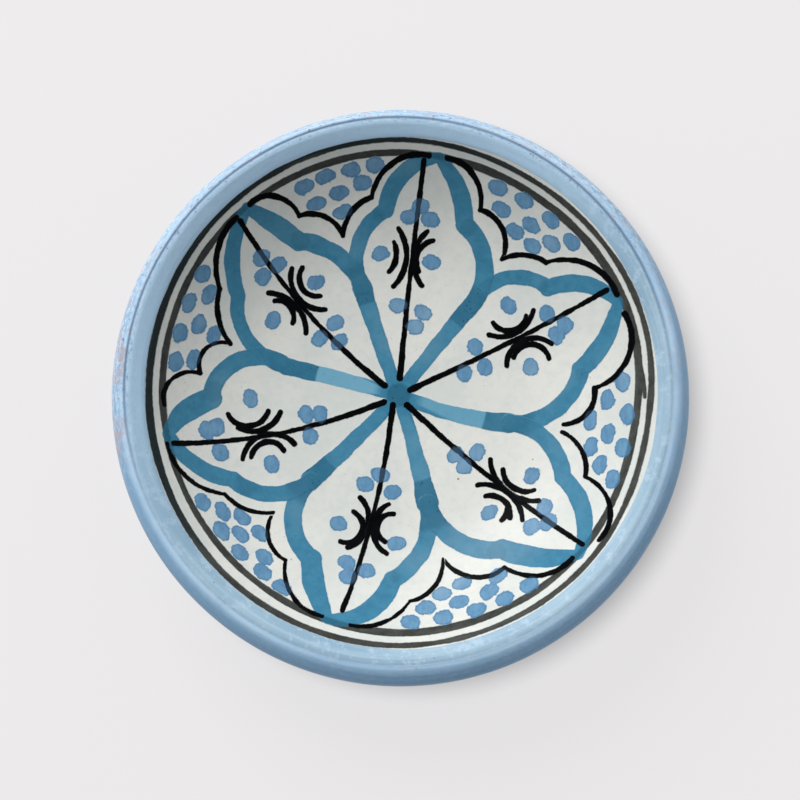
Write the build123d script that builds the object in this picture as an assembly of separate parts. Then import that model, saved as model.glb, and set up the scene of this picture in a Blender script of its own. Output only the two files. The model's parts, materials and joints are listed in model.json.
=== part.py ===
"""Hand painted earthenware dish, standing on its foot ring.

A deep plate is thrown in red clay and trimmed to a foot ring. White glaze covers the inside,
a light blue glaze covers the lip and the outside, and a flower of six petals is painted inside
two banded lines. Each layer is its own solid and lies face to face on what is under it.

Millimetres. The origin is the centre of the foot's underside, +Z is up, and +Y points to the
second petal. The inside was turned a little off the outside's centre, so the cavity and
everything painted in it have an axis of their own.
"""
import math
import os

from build123d import *

# ---- clay body ------------------------------------------------------------------------------
RIM_RADIUS = 90.0          # widest point of the rolled lip
HEIGHT = 38.0              # top of the lip above the table
LIP_RADIUS = 4.5           # roundness of the lip
FLARE_RADIUS = 20.0        # outward turn from the inside wall to the lip
WALL_RADIUS = 62.0         # upward curve of the inside wall
FLOOR_RADIUS = 260.0       # slight hollow of the floor
FLARE_SLOPE = 30.0         # slope in degrees where the flare meets the lip
WALL_SLOPE = 50.0          # steepest slope of the inside wall
UNDER_LIP_SLOPE = 40.0     # slope of the outside wall where it leaves the lip
CAVITY_CENTRE = (-0.6, 1.9)
FOOT_TOP_RADIUS = 46.5     # where the outside wall meets the foot ring
FOOT_TOP_HEIGHT = 6.0
FOOT_OUTER_RADIUS = 45.5
FOOT_INNER_RADIUS = 38.5
FOOT_EASE = 0.9            # worn edge of the foot ring
RECESS_DEPTH = 3.0         # hollow under the floor, inside the foot ring
RECESS_RISE = 0.8          # how much deeper it is at the middle

# ---- layers ---------------------------------------------------------------------------------
COAT = 0.3                 # thickness of the white and the blue glaze
COAT_EDGE_SLOPE = 22.0     # slope of the outside wall where the blue glaze stops, above the foot
BLUE_EDGE_RADIUS = 80.1    # inner edge of the blue glaze, a circle off the cavity's axis
BLUE_EDGE_CENTRE = (0.8, -0.45)
# height of each kind of mark above the white glaze: an upper one lies over a lower one
RING_LIFT = 0.15
STAR_LIFT = 0.15
DOT_LIFT = 0.20
BAND_LIFT = (0.20, 0.25)   # odd and even petals, because neighbours overlap
LINE_LIFT = 0.30
VEIN_LIFT = 0.35
TALL = 60.0                # more than the height of the dish

# ---- banded lines: edge radii every 45 degrees, counter-clockwise from +X ---------------------
OUTER_RING = {"inner": [78.2, 78.1, 78.4, 78.1, 77.2, 78.1, 78.8, 79.1],
              "outer": [79.8, 79.5, 79.6, 79.5, 79.2, 79.8, 80.3, 80.5]}
INNER_RING = {"inner": [74.3, 74.5, 74.6, 74.5, 73.4, 73.5, 74.6, 75.2],
              "outer": [76.4, 76.6, 76.3, 76.2, 75.2, 75.2, 76.7, 76.9]}
RING_TAIL = ((75.4, 12.0), (76.7, 4.5), (77.2, 358.6), 0.8)     # the brush's last trace, and width

# ---- flower: places are (radius, degrees) about the cavity's axis ------------------------------
PETALS = 6
SIDES = ("cw", "ccw")      # clockwise and counter-clockwise side of a petal

# Outline: two arched strokes a side, from the valley between petals to a cusp and to the tip.
# Per petal and side: middle of the first stroke, cusp, middle of the second stroke, tip.
OUTLINE = [
    {"cw": ((59.6, 353.2), (62.3, 1.5), (71.0, 6.2), (75.2, 19.0)),
     "ccw": ((59.8, 47.6), (62.8, 41.6), (70.9, 35.6), (75.2, 23.9))},
    {"cw": ((61.5, 57.1), (63.9, 66.0), (70.5, 69.0), (75.3, 78.4)),
     "ccw": ((59.7, 104.8), (63.1, 97.8), (70.7, 93.5), (75.1, 82.6))},
    {"cw": ((60.6, 112.2), (64.6, 119.2), (70.5, 120.4), (75.4, 128.6)),
     "ccw": ((62.0, 157.4), (65.7, 149.8), (72.1, 142.8), (75.0, 132.8))},
    {"cw": ((61.7, 165.7), (63.2, 174.3), (70.1, 175.6), (73.7, 183.2)),
     "ccw": ((60.6, 217.6), (63.7, 210.2), (70.9, 203.5), (74.5, 192.6))},
    {"cw": ((61.1, 227.3), (63.9, 236.0), (70.5, 240.3), (74.4, 251.3)),
     "ccw": ((62.0, 280.8), (65.9, 273.1), (71.8, 267.5), (74.8, 258.2))},
    {"cw": ((61.8, 290.4), (64.6, 301.2), (71.5, 306.0), (75.5, 316.2)),
     "ccw": ((60.8, 342.8), (64.8, 335.8), (72.3, 333.7), (78.1, 323.2))},
]
VALLEYS = [(54.4, 52.5), (53.7, 109.3), (56.0, 163.4), (54.9, 223.5), (54.3, 285.0), (53.4, 348.2)]
VALLEY_GAP = [0.0, 0.0, 0.0, 0.0, 0.0, 1.3]      # half angle where the two outlines don't meet
LINE_WIDTH = (1.3, 1.6, 1.5)                     # at the start, middle and end of a stroke

# Band: the same two strokes, turquoise and wider, from the merge with the star to a notch and to
# the tip. Per petal and side: middle of the first stroke, notch, middle of the second stroke, and
# the width of each stroke.
BAND = [
    {"cw": ((50.5, 354.6), (58.5, 7.6), (66.5, 13.6), 5.1, 5.2),
     "ccw": ((51.3, 46.6), (58.5, 35.2), (67.0, 31.2), 4.3, 4.8)},
    {"cw": ((50.4, 57.0), (58.1, 68.9), (67.0, 73.4), 5.3, 5.2),
     "ccw": ((50.3, 104.6), (58.8, 93.9), (67.0, 90.7), 4.5, 4.8)},
    {"cw": ((51.2, 115.6), (58.1, 123.2), (66.5, 126.3), 5.2, 5.7),
     "ccw": ((51.0, 160.2), (60.0, 148.8), (66.8, 142.2), 4.2, 4.3)},
    {"cw": ((53.0, 168.9), (59.7, 181.6), (66.8, 184.8), 5.1, 6.5),
     "ccw": ((51.8, 218.0), (59.3, 207.4), (66.0, 201.8), 4.8, 4.6)},
    {"cw": ((52.6, 230.3), (59.4, 242.3), (66.8, 246.7), 5.4, 6.2),
     "ccw": ((50.2, 278.6), (59.1, 268.1), (66.7, 264.5), 5.2, 5.4)},
    {"cw": ((50.8, 292.0), (59.4, 303.7), (67.0, 309.2), 5.4, 6.0),
     "ccw": ((50.9, 341.7), (58.5, 333.1), (66.8, 329.0), 5.0, 5.0)},
]
BAND_TIPS = [(74.6, 22.2), (75.0, 80.3), (75.2, 129.5), (73.8, 190.2), (74.7, 252.8), (76.1, 317.7)]
BAND_TIP_WIDTH = 2.8
MERGES = [(36.8, 51.0), (36.7, 108.7), (37.0, 165.8), (39.5, 224.3), (36.0, 284.8), (36.5, 345.6)]
STAR_RISE = [0.4, 0.2, -0.3, 0.5, 0.5, -1.5]
STAR_WIDTH = (4.2, 4.5)                          # at the middle of the dish, and halfway
STAR_END_WIDTH = [5.4, 6.0, 5.2, 6.2, 6.8, 6.0]  # at each merge

# Vein: base, middle and tip of the black middle line.
VEINS = [((4.0, 24.8), (40.0, 25.3), (73.0, 26.1)), ((5.6, 85.5), (40.0, 84.4), (73.6, 83.7)),
         ((5.3, 146.0), (40.0, 137.8), (73.4, 132.8)), ((5.2, 204.8), (40.0, 198.0), (72.6, 192.9)),
         ((3.6, 240.0), (40.0, 258.0), (70.9, 255.6)), ((4.1, 310.6), (40.0, 317.8), (74.9, 320.2))]
VEIN_WIDTH = (1.9, 1.4, 1.6)

# Sprig: curved strokes across the vein, each from end to end through its middle.
SPRIGS = [
    [((50.8, 32.0), (42.9, 27.8), (34.8, 33.6)), ((47.9, 31.7), (44.7, 29.3), (38.1, 37.2)),
     ((51.5, 18.3), (44.7, 23.4), (35.9, 15.0)), ((49.4, 13.3), (44.7, 21.0), (38.8, 18.0))],
    [((53.0, 90.0), (44.4, 86.7), (35.0, 92.6)), ((48.8, 91.8), (44.7, 90.9), (39.7, 94.4)),
     ((53.0, 79.9), (45.0, 83.7), (35.8, 77.9)), ((50.5, 77.4), (45.3, 82.4), (40.2, 80.7))],
    [((52.7, 130.3), (44.7, 136.2), (36.1, 130.6)), ((50.9, 127.2), (45.3, 132.2), (40.4, 128.5)),
     ((52.8, 142.2), (44.7, 139.0), (35.7, 146.2)), ((49.7, 143.1), (45.7, 140.9), (41.0, 145.9))],
    [((54.7, 186.8), (48.3, 192.1), (42.1, 187.2)), ((52.3, 191.9), (45.6, 194.6), (38.2, 188.4)),
     ((53.9, 202.8), (46.4, 196.9), (36.9, 205.4)), ((51.2, 203.4), (46.8, 199.7), (40.8, 206.0))],
    [((50.5, 248.4), (45.3, 255.0), (40.1, 249.0)), ((51.6, 251.5), (44.4, 256.8), (35.1, 249.5)),
     ((51.0, 265.7), (43.8, 259.2), (35.2, 264.9)), ((47.3, 264.7), (44.4, 261.2), (38.2, 267.4))],
    [((53.1, 311.8), (48.3, 314.7), (42.8, 310.5)), ((51.9, 309.2), (51.4, 311.7), (50.1, 313.9)),
     ((56.3, 314.4), (48.0, 318.0), (38.4, 311.1)), ((56.1, 322.6), (46.8, 318.1), (36.0, 324.7)),
     ((52.9, 324.6), (47.4, 320.8), (41.1, 324.3))],
]
SPRIG_WIDTH = (1.4, 1.8, 1.5)

# Dabs of blue: places inside each petal, and in each gap between petal N and the next one.
PETAL_DOTS = [
    [(53.9, 28.4), (57.4, 22.5), (53.8, 20.3), (45.3, 39.1), (43.2, 11.7), (28.9, 32.1), (29.1, 17.9),
     (22.1, 18.7)],
    [(60.3, 83.3), (56.5, 86.4), (56.5, 79.7), (45.6, 97.2), (43.8, 76.1), (28.8, 90.4), (27.7, 73.6),
     (22.5, 76.5)],
    [(61.4, 135.3), (56.3, 133.0), (57.3, 139.2), (44.6, 126.4), (46.7, 149.4), (30.8, 131.5),
     (31.1, 144.1), (25.8, 137.8)],
    [(62.1, 191.1), (59.0, 190.4), (59.6, 198.3), (47.4, 181.5), (46.2, 208.9), (30.3, 191.6),
     (25.9, 193.6), (31.3, 204.9)],
    [(56.3, 253.0), (57.2, 259.7), (60.3, 254.6), (45.5, 245.2), (47.7, 269.4), (26.3, 256.9),
     (30.5, 249.3), (31.2, 266.1)],
    [(58.8, 322.1), (62.7, 319.3), (59.7, 315.0), (49.8, 328.4), (47.5, 307.4), (26.4, 313.2),
     (31.1, 323.9), (31.0, 312.6)],
]
GAP_DOTS = [
    [(71.9, 64.0), (66.9, 60.7), (72.5, 56.7), (63.4, 54.3), (67.8, 51.6), (72.6, 48.4), (63.3, 47.7),
     (67.8, 44.4), (72.4, 41.0)],
    [(71.6, 114.7), (72.1, 108.8), (72.1, 102.1), (72.3, 96.0), (67.6, 99.8), (66.4, 106.6),
     (65.6, 113.5), (60.6, 107.0)],
    [(72.3, 148.9), (67.7, 152.6), (71.9, 156.9), (66.8, 161.2), (71.5, 164.9), (61.5, 162.6),
     (70.9, 172.2), (65.9, 170.8)],
    [(70.8, 209.4), (67.1, 214.0), (63.3, 218.4), (70.8, 218.1), (67.0, 221.8), (62.4, 225.3),
     (71.0, 225.3), (67.0, 230.9), (71.0, 232.8), (71.5, 239.2)],
    [(63.5, 288.4), (65.2, 282.1), (65.8, 298.5), (73.2, 304.0), (69.0, 294.4), (68.7, 286.1),
     (73.0, 297.1), (68.5, 277.1), (72.7, 289.4), (72.4, 281.2), (72.3, 273.0)],
    [(70.8, 2.6), (66.1, 358.1), (72.3, 354.4), (61.4, 352.0), (67.6, 348.8), (63.3, 344.4),
     (72.6, 346.0), (67.6, 340.3), (72.7, 337.8)],
]
PETAL_DOT_HALF = (2.35, 2.95)  # half size of a dab, along the radius and across it
GAP_DOT_HALF = (2.1, 3.2)


# ---- section of the dish: arcs in the plane of radius and height --------------------------------
def from_centre(centre, radius, degrees):
    """The place at this distance and angle from a centre, as (radius, height) or as (x, y)."""
    angle = math.radians(degrees)
    return (centre[0] + radius * math.cos(angle), centre[1] + radius * math.sin(angle))


def section_arc(centre, radius, first, last):
    """An arc of the section between two angles about its centre."""
    points = [from_centre(centre, radius, a) for a in (first, (first + last) / 2, last)]
    return ThreePointArc(*[(r, 0, z) for r, z in points])


def section_line(start, end):
    return Line((start[0], 0, start[1]), (end[0], 0, end[1]))


def turned(edges):
    """The solid that a closed section makes when it turns about the axis."""
    return revolve(make_face(edges), axis=Axis.Z)


# A slope of s degrees lies at s - 90 on an arc that curves upward, and at s + 90 on one that
# curves over. Neighbouring arcs share the slope at their joint, so their centres are in line.
LIP_CENTRE = (RIM_RADIUS - LIP_RADIUS, HEIGHT - LIP_RADIUS)
FLARE_CENTRE = from_centre(LIP_CENTRE, LIP_RADIUS - FLARE_RADIUS, FLARE_SLOPE + 90)
WALL_CENTRE = from_centre(FLARE_CENTRE, FLARE_RADIUS + WALL_RADIUS, WALL_SLOPE + 90)
FLOOR_SLOPE = math.degrees(math.asin(WALL_CENTRE[0] / (FLOOR_RADIUS - WALL_RADIUS)))
FLOOR_CENTRE = from_centre(WALL_CENTRE, WALL_RADIUS - FLOOR_RADIUS, FLOOR_SLOPE - 90)

# The outside wall is one arc from the lip to the foot, with its centre where both ends agree.
_top = from_centre(LIP_CENTRE, LIP_RADIUS, UNDER_LIP_SLOPE - 90)
_chord = (_top[0] - FOOT_TOP_RADIUS, _top[1] - FOOT_TOP_HEIGHT)
_half_turn = UNDER_LIP_SLOPE - math.degrees(math.atan2(_chord[1], _chord[0]))
OUTSIDE_RADIUS = math.hypot(*_chord) / (2 * math.sin(math.radians(_half_turn)))
OUTSIDE_CENTRE = from_centre(_top, OUTSIDE_RADIUS, UNDER_LIP_SLOPE + 90)
FOOT_TOP_SLOPE = UNDER_LIP_SLOPE - 2 * _half_turn


def cavity_surface(lift):
    """The inside, from the axis to the crest of the lip, this far above the bare clay."""
    return [
        section_arc(FLOOR_CENTRE, FLOOR_RADIUS - lift, -90, FLOOR_SLOPE - 90),
        section_arc(WALL_CENTRE, WALL_RADIUS - lift, FLOOR_SLOPE - 90, WALL_SLOPE - 90),
        section_arc(FLARE_CENTRE, FLARE_RADIUS + lift, WALL_SLOPE + 90, FLARE_SLOPE + 90),
        section_arc(LIP_CENTRE, LIP_RADIUS + lift, FLARE_SLOPE + 90, 90),
    ]


def outside_surface(lift, last_slope):
    """The outside, from the crest of the lip down to where the wall has this slope."""
    return [
        section_arc(LIP_CENTRE, LIP_RADIUS + lift, 90, UNDER_LIP_SLOPE - 90),
        section_arc(OUTSIDE_CENTRE, OUTSIDE_RADIUS + lift, UNDER_LIP_SLOPE - 90, last_slope - 90),
    ]


def closed_section(edges, corners):
    """Edges that follow one another, closed by straight lines through the corners."""
    first = edges[0] @ 0
    last = edges[-1] @ 1
    stops = [(last.X, last.Z), *corners, (first.X, first.Z)]
    return [*edges, *[section_line(a, b) for a, b in zip(stops, stops[1:])]]


def cavity(lift):
    """Everything above the inside surface, on the cavity's own axis."""
    crest = HEIGHT + lift
    corners = [(RIM_RADIUS + TALL, crest), (RIM_RADIUS + TALL, TALL), (0, TALL)]
    return Pos(*CAVITY_CENTRE) * turned(closed_section(cavity_surface(lift), corners))


def make_clay_body():
    foot = [
        (FOOT_OUTER_RADIUS, FOOT_EASE),
        (FOOT_OUTER_RADIUS - FOOT_EASE, 0),
        (FOOT_INNER_RADIUS + FOOT_EASE, 0),
        (FOOT_INNER_RADIUS, FOOT_EASE),
        (FOOT_INNER_RADIUS - FOOT_EASE, RECESS_DEPTH),
        (0, RECESS_DEPTH + RECESS_RISE),
        (0, HEIGHT),
    ]
    outside = turned(closed_section(outside_surface(0, FOOT_TOP_SLOPE), foot))
    return outside - cavity(0)


def make_coats(body):
    """The white and the blue glaze, one skin that is parted along the blue one's inner edge."""
    edge_height = from_centre(OUTSIDE_CENTRE, OUTSIDE_RADIUS, COAT_EDGE_SLOPE - 90)[1]
    edge_corners = [
        from_centre(OUTSIDE_CENTRE, OUTSIDE_RADIUS, COAT_EDGE_SLOPE - 90),
        (0, edge_height),
        (0, HEIGHT + COAT),
    ]
    coated = turned(closed_section(outside_surface(COAT, COAT_EDGE_SLOPE), edge_corners))
    skin = coated - cavity(COAT) - body
    x = CAVITY_CENTRE[0] + BLUE_EDGE_CENTRE[0]
    y = CAVITY_CENTRE[1] + BLUE_EDGE_CENTRE[1]
    core = Pos(x, y, 0) * Cylinder(BLUE_EDGE_RADIUS, 2 * TALL)
    inside = core & cavity(-LIP_RADIUS / 2)
    return skin & inside, skin - inside


# ---- brush marks, drawn in plan about the cavity's axis -----------------------------------------
def place(radius, degrees):
    return Vector(*from_centre((0, 0), radius, degrees))


def stroke(path, widths):
    """A brush mark along an arc: two side arcs at half the width, and a rounded end at each end."""
    across = [(path % t).rotate(Axis.Z, 90) for t in (0, 0.5, 1)]
    left = [path @ t + n * w / 2 for t, n, w in zip((0, 0.5, 1), across, widths)]
    right = [path @ t - n * w / 2 for t, n, w in zip((0, 0.5, 1), across, widths)]
    heel = path @ 0 - (path % 0) * widths[0] / 2
    toe = path @ 1 + (path % 1) * widths[2] / 2
    edges = [
        ThreePointArc(*left),
        ThreePointArc(left[2], toe, right[2]),
        ThreePointArc(*reversed(right)),
        ThreePointArc(right[0], heel, left[0]),
    ]
    return make_face(edges)


def arched(start, end, rise):
    """An arc from start to end that stands this far to the left of its chord."""
    chord = end - start
    middle = (start + end) / 2 + chord.normalized().rotate(Axis.Z, 90) * rise
    return ThreePointArc(start, middle, end)


def gap_of(petal, side):
    """The gap on this side of a petal."""
    return petal if side == "ccw" else petal - 1


def through(*places):
    """An arc through three places."""
    return ThreePointArc(*[place(*p) for p in places])


def ring_face(ring):
    """The area between two closed, slightly uneven circles."""
    step = 360 / len(ring["inner"])
    inner, outer = [
        make_face(Spline(*[place(r, i * step) for i, r in enumerate(ring[edge])], periodic=True))
        for edge in ("inner", "outer")
    ]
    return outer - inner


def ring_tail():
    *places, width = RING_TAIL
    return stroke(through(*places), (width, width, width))


def star_face():
    """Six strokes from the middle of the dish to the merges."""
    centre = Vector(0, 0)
    strokes = [stroke(arched(centre, place(*merge), rise), (*STAR_WIDTH, end_width))
               for merge, rise, end_width in zip(MERGES, STAR_RISE, STAR_END_WIDTH)]
    return Sketch() + strokes


def band_face(petal):
    marks = []
    for side in SIDES:
        first_middle, notch, second_middle, first_width, second_width = BAND[petal][side]
        first = through(MERGES[gap_of(petal, side)], first_middle, notch)
        second = through(notch, second_middle, BAND_TIPS[petal])
        marks.append(stroke(first, (first_width, first_width, first_width)))
        marks.append(stroke(second, (second_width, second_width, BAND_TIP_WIDTH)))
    return Sketch() + marks


def outline_face(petal):
    marks = []
    for side in SIDES:
        first_middle, cusp, second_middle, tip = OUTLINE[petal][side]
        gap = gap_of(petal, side)
        radius, degrees = VALLEYS[gap]
        apart = -VALLEY_GAP[gap] if side == "ccw" else VALLEY_GAP[gap]
        valley = (radius, degrees + apart)
        marks.append(stroke(through(valley, first_middle, cusp), LINE_WIDTH))
        marks.append(stroke(through(cusp, second_middle, tip), LINE_WIDTH))
    return Sketch() + marks


def vein_face(petal):
    return Sketch() + stroke(through(*VEINS[petal]), VEIN_WIDTH)


def sprig_face(petal):
    return Sketch() + [stroke(through(*places), SPRIG_WIDTH) for places in SPRIGS[petal]]


def dabs(dots, half):
    """Oval dabs, each with its long side across the radius."""
    return Sketch() + [Pos(*place(*dot)) * Rot(0, 0, dot[1]) * Ellipse(*half) for dot in dots]


# ---- from plan to solids -----------------------------------------------------------------------
def paint(face, lift, under=()):
    """A film of paint: the plan shape on the glaze, this high, less the films it lies over."""
    limit = FLARE_SLOPE + 90
    edges = cavity_surface(COAT)[:3]
    upper = cavity_surface(COAT + lift)[:3]
    ends = [from_centre(FLARE_CENTRE, FLARE_RADIUS + COAT + t, limit) for t in (0, lift)]
    axis_ends = [(0, (e[0] @ 0).Z) for e in (edges, upper)]
    rim = section_line(ends[0], ends[1])
    section = [*edges, rim, *upper, section_line(axis_ends[1], axis_ends[0])]
    film = turned(section) & extrude(face, amount=TALL, dir=(0, 0, 1))
    film = Pos(*CAVITY_CENTRE) * film
    for lower in under:
        film = film - lower
    return film


def make_paint():
    """Every painted node by name, from the lowest layer to the uppermost."""
    rings = {
        "outer_ring_line": paint(ring_face(OUTER_RING), RING_LIFT),
        "inner_ring_line": paint(ring_face(INNER_RING) + ring_tail(), RING_LIFT),
    }
    films = {**rings, "centre_star": paint(star_face(), STAR_LIFT)}
    ring = films["inner_ring_line"]
    for petal in range(PETALS):
        name = petal + 1
        films[f"petal_{name}_dots"] = paint(dabs(PETAL_DOTS[petal], PETAL_DOT_HALF), DOT_LIFT)
        films[f"gap_{name}_dots"] = paint(dabs(GAP_DOTS[petal], GAP_DOT_HALF), DOT_LIFT, [ring])
    for petal in sorted(range(PETALS), key=lambda p: p % 2):
        under = [ring, films["centre_star"]]
        if petal % 2:
            before = f"petal_{petal}_band"
            after = f"petal_{(petal + 1) % PETALS + 1}_band"
            under += [films[before], films[after]]
        lift = BAND_LIFT[petal % 2]
        films[f"petal_{petal + 1}_band"] = paint(band_face(petal), lift, under)
    drawn = Sketch()
    for petal in range(PETALS):
        name = petal + 1
        face = outline_face(petal) - drawn
        drawn = drawn + face
        gaps = [films[f"gap_{gap_of(petal, side) % PETALS + 1}_dots"] for side in SIDES]
        bands = [films[f"petal_{name}_band"]]
        films[f"petal_{name}_outline"] = paint(face, LINE_LIFT, [*rings.values(), *gaps, *bands])
        dots = films[f"petal_{name}_dots"]
        films[f"petal_{name}_sprig"] = paint(sprig_face(petal), LINE_LIFT, [dots])
        under = [ring, films["centre_star"], dots, films[f"petal_{name}_sprig"], *bands,
                 films[f"petal_{name}_outline"]]
        films[f"petal_{name}_vein"] = paint(vein_face(petal), VEIN_LIFT, under)
    return films


def main():
    os.makedirs("parts", exist_ok=True)
    body = make_clay_body()
    white, blue = make_coats(body)
    nodes = {"clay_body": body, "white_glaze": white, "blue_rim_glaze": blue, **make_paint()}
    for name, shape in nodes.items():
        export_step(shape, f"parts/{name}.step")
        print(f"{name:20s} {shape.volume:12.2f} mm3  {len(shape.solids())} solids")


if __name__ == "__main__":
    main()
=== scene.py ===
import json
import math

import bmesh
import bpy
import numpy as np
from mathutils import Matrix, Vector, noise
from mathutils.bvhtree import BVHTree
from mathutils.kdtree import KDTree


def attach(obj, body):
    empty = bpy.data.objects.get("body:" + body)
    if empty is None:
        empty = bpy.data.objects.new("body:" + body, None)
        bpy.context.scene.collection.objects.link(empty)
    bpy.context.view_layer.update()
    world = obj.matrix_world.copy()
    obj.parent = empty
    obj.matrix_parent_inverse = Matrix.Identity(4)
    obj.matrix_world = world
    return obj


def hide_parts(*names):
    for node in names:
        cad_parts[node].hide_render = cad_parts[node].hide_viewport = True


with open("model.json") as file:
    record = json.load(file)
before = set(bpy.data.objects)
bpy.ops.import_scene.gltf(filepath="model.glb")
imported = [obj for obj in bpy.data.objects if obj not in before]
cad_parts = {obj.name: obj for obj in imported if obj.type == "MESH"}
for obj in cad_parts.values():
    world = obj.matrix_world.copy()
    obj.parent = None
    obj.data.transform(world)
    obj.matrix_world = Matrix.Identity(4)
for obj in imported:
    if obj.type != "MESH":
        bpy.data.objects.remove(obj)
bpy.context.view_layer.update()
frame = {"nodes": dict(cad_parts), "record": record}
MM = 0.001

# ---- the section of the dish, in millimetres, as in the CAD source ------------------------------
RIM_RADIUS, HEIGHT, LIP_RADIUS = 90.0, 38.0, 4.5
FLARE_RADIUS, WALL_RADIUS, FLOOR_RADIUS = 20.0, 62.0, 260.0
FLARE_SLOPE, WALL_SLOPE, UNDER_LIP_SLOPE = 30.0, 50.0, 40.0
CAVITY = np.array([-0.6, 1.9])
FOOT_TOP_RADIUS, FOOT_TOP_HEIGHT = 46.5, 6.0
FOOT_INNER_RADIUS, FOOT_EASE = 38.5, 0.9
RECESS_DEPTH, RECESS_RISE = 3.0, 0.8
COAT = 0.3
COAT_EDGE_SLOPE = 22.0
BLUE_EDGE_RADIUS = 80.1
BLUE_EDGE_CENTRE = CAVITY + np.array([0.8, -0.45])
TUCK = -0.12                # a hidden back of a glaze layer lies this far inside the clay


def from_centre(centre, radius, degrees):
    angle = math.radians(degrees)
    return (centre[0] + radius * math.cos(angle), centre[1] + radius * math.sin(angle))


LIP_CENTRE = (RIM_RADIUS - LIP_RADIUS, HEIGHT - LIP_RADIUS)
FLARE_CENTRE = from_centre(LIP_CENTRE, LIP_RADIUS - FLARE_RADIUS, FLARE_SLOPE + 90)
WALL_CENTRE = from_centre(FLARE_CENTRE, FLARE_RADIUS + WALL_RADIUS, WALL_SLOPE + 90)
FLOOR_SLOPE = math.degrees(math.asin(WALL_CENTRE[0] / (FLOOR_RADIUS - WALL_RADIUS)))
FLOOR_CENTRE = from_centre(WALL_CENTRE, WALL_RADIUS - FLOOR_RADIUS, FLOOR_SLOPE - 90)
_top = from_centre(LIP_CENTRE, LIP_RADIUS, UNDER_LIP_SLOPE - 90)
_chord = (_top[0] - FOOT_TOP_RADIUS, _top[1] - FOOT_TOP_HEIGHT)
_half_turn = UNDER_LIP_SLOPE - math.degrees(math.atan2(_chord[1], _chord[0]))
OUTSIDE_RADIUS = math.hypot(*_chord) / (2 * math.sin(math.radians(_half_turn)))
OUTSIDE_CENTRE = from_centre(_top, OUTSIDE_RADIUS, UNDER_LIP_SLOPE + 90)
FOOT_TOP_SLOPE = UNDER_LIP_SLOPE - 2 * _half_turn


def inside(radius, lift):
    """Height of the inside surface at a distance from the cavity's axis, this far above the clay."""
    radius = np.asarray(radius, float)
    lift = np.broadcast_to(np.asarray(lift, float), radius.shape)

    def arc(centre, bend, side):
        room = np.maximum(bend ** 2 - (radius - centre[0]) ** 2, 0)
        return centre[1] + side * np.sqrt(room)

    def joint(centre, bend, slope):
        return centre[0] + bend * math.sin(math.radians(slope))

    floor = arc(FLOOR_CENTRE, FLOOR_RADIUS - lift, -1)
    wall = arc(WALL_CENTRE, WALL_RADIUS - lift, -1)
    flare = arc(FLARE_CENTRE, FLARE_RADIUS + lift, 1)
    lip = arc(LIP_CENTRE, LIP_RADIUS + lift, 1)
    first = joint(WALL_CENTRE, WALL_RADIUS - lift, FLOOR_SLOPE)
    second = joint(WALL_CENTRE, WALL_RADIUS - lift, WALL_SLOPE)
    third = joint(FLARE_CENTRE, -(FLARE_RADIUS + lift), FLARE_SLOPE)
    outer = np.where(radius < third, flare, lip)
    return np.where(radius < first, floor, np.where(radius < second, wall, outer))


def smooth(value, low, high):
    """0 at low and 1 at high, with soft ends. low may be the larger one."""
    t = np.clip((np.asarray(value, float) - low) / (high - low), 0, 1)
    return t * t * (3 - 2 * t)


def ripple(points, scale, seed, octaves=1):
    """Smooth noise from -1 to 1 at plan or space points given in millimetres."""
    out = np.empty(len(points))
    for i, p in enumerate(points):
        z = p[2] if len(p) > 2 else 0.0
        at = Vector((p[0] / scale + seed * 7.3, p[1] / scale - seed * 3.1, z / scale + seed))
        out[i] = noise.fractal(at, 1.0, 2.0, octaves) if octaves > 1 else noise.noise(at)
    return out


# ---- mesh helpers --------------------------------------------------------------------------------
def add_mesh(name, points, faces, attributes=()):
    """A smooth shaded object from points in millimetres."""
    mesh = bpy.data.meshes.new(name)
    mesh.from_pydata((np.asarray(points) * MM).tolist(), [], faces)
    work = bmesh.new()
    work.from_mesh(mesh)
    bmesh.ops.recalc_face_normals(work, faces=work.faces)
    work.to_mesh(mesh)
    work.free()
    for key, values in dict(attributes).items():
        values = np.asarray(values, float)
        kind = "FLOAT" if values.ndim == 1 else ("FLOAT_VECTOR" if values.shape[1] == 3 else "FLOAT_COLOR")
        layer = mesh.attributes.new(key, kind, "POINT")
        field = {"FLOAT": "value", "FLOAT_VECTOR": "vector", "FLOAT_COLOR": "color"}[kind]
        layer.data.foreach_set(field, values.ravel())
    mesh.polygons.foreach_set("use_smooth", [True] * len(mesh.polygons))
    obj = bpy.data.objects.new(name, mesh)
    bpy.context.scene.collection.objects.link(obj)
    return obj


def loft(rows, ring=False):
    """Points and faces of a skin over rings of points. A row of one point is a pole."""
    points = np.vstack(rows)
    starts = np.cumsum([0] + [len(r) for r in rows])
    faces = []
    pairs = list(zip(range(len(rows) - 1), range(1, len(rows))))
    if ring:
        pairs.append((len(rows) - 1, 0))
    for a, b in pairs:
        na, nb = len(rows[a]), len(rows[b])
        for j in range(max(na, nb)):
            k = (j + 1) % max(na, nb)
            if na == 1:
                faces.append((starts[a], starts[b] + k, starts[b] + j))
            elif nb == 1:
                faces.append((starts[a] + j, starts[a] + k, starts[b]))
            else:
                faces.append((starts[a] + j, starts[a] + k, starts[b] + k, starts[b] + j))
    return points, faces


def directions(turns):
    """The angles of a full turn in equal steps, and the unit vector of each."""
    angle = np.arange(turns) * 2 * math.pi / turns
    return angle, np.column_stack([np.cos(angle), np.sin(angle)])


def ring_row(centre, radius, height, ways):
    """One ring of points. radius and height are numbers or one value for each direction."""
    radius = np.broadcast_to(np.asarray(radius, float), (len(ways),))
    height = np.broadcast_to(np.asarray(height, float), (len(ways),))
    plan = np.asarray(centre) + ways * radius[:, None]
    return np.column_stack([plan, height])


def lip_share(phi):
    """How far the lip's section has moved from the cavity's axis to the outside's."""
    return float(smooth(90 - phi, 0, 80))


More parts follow.
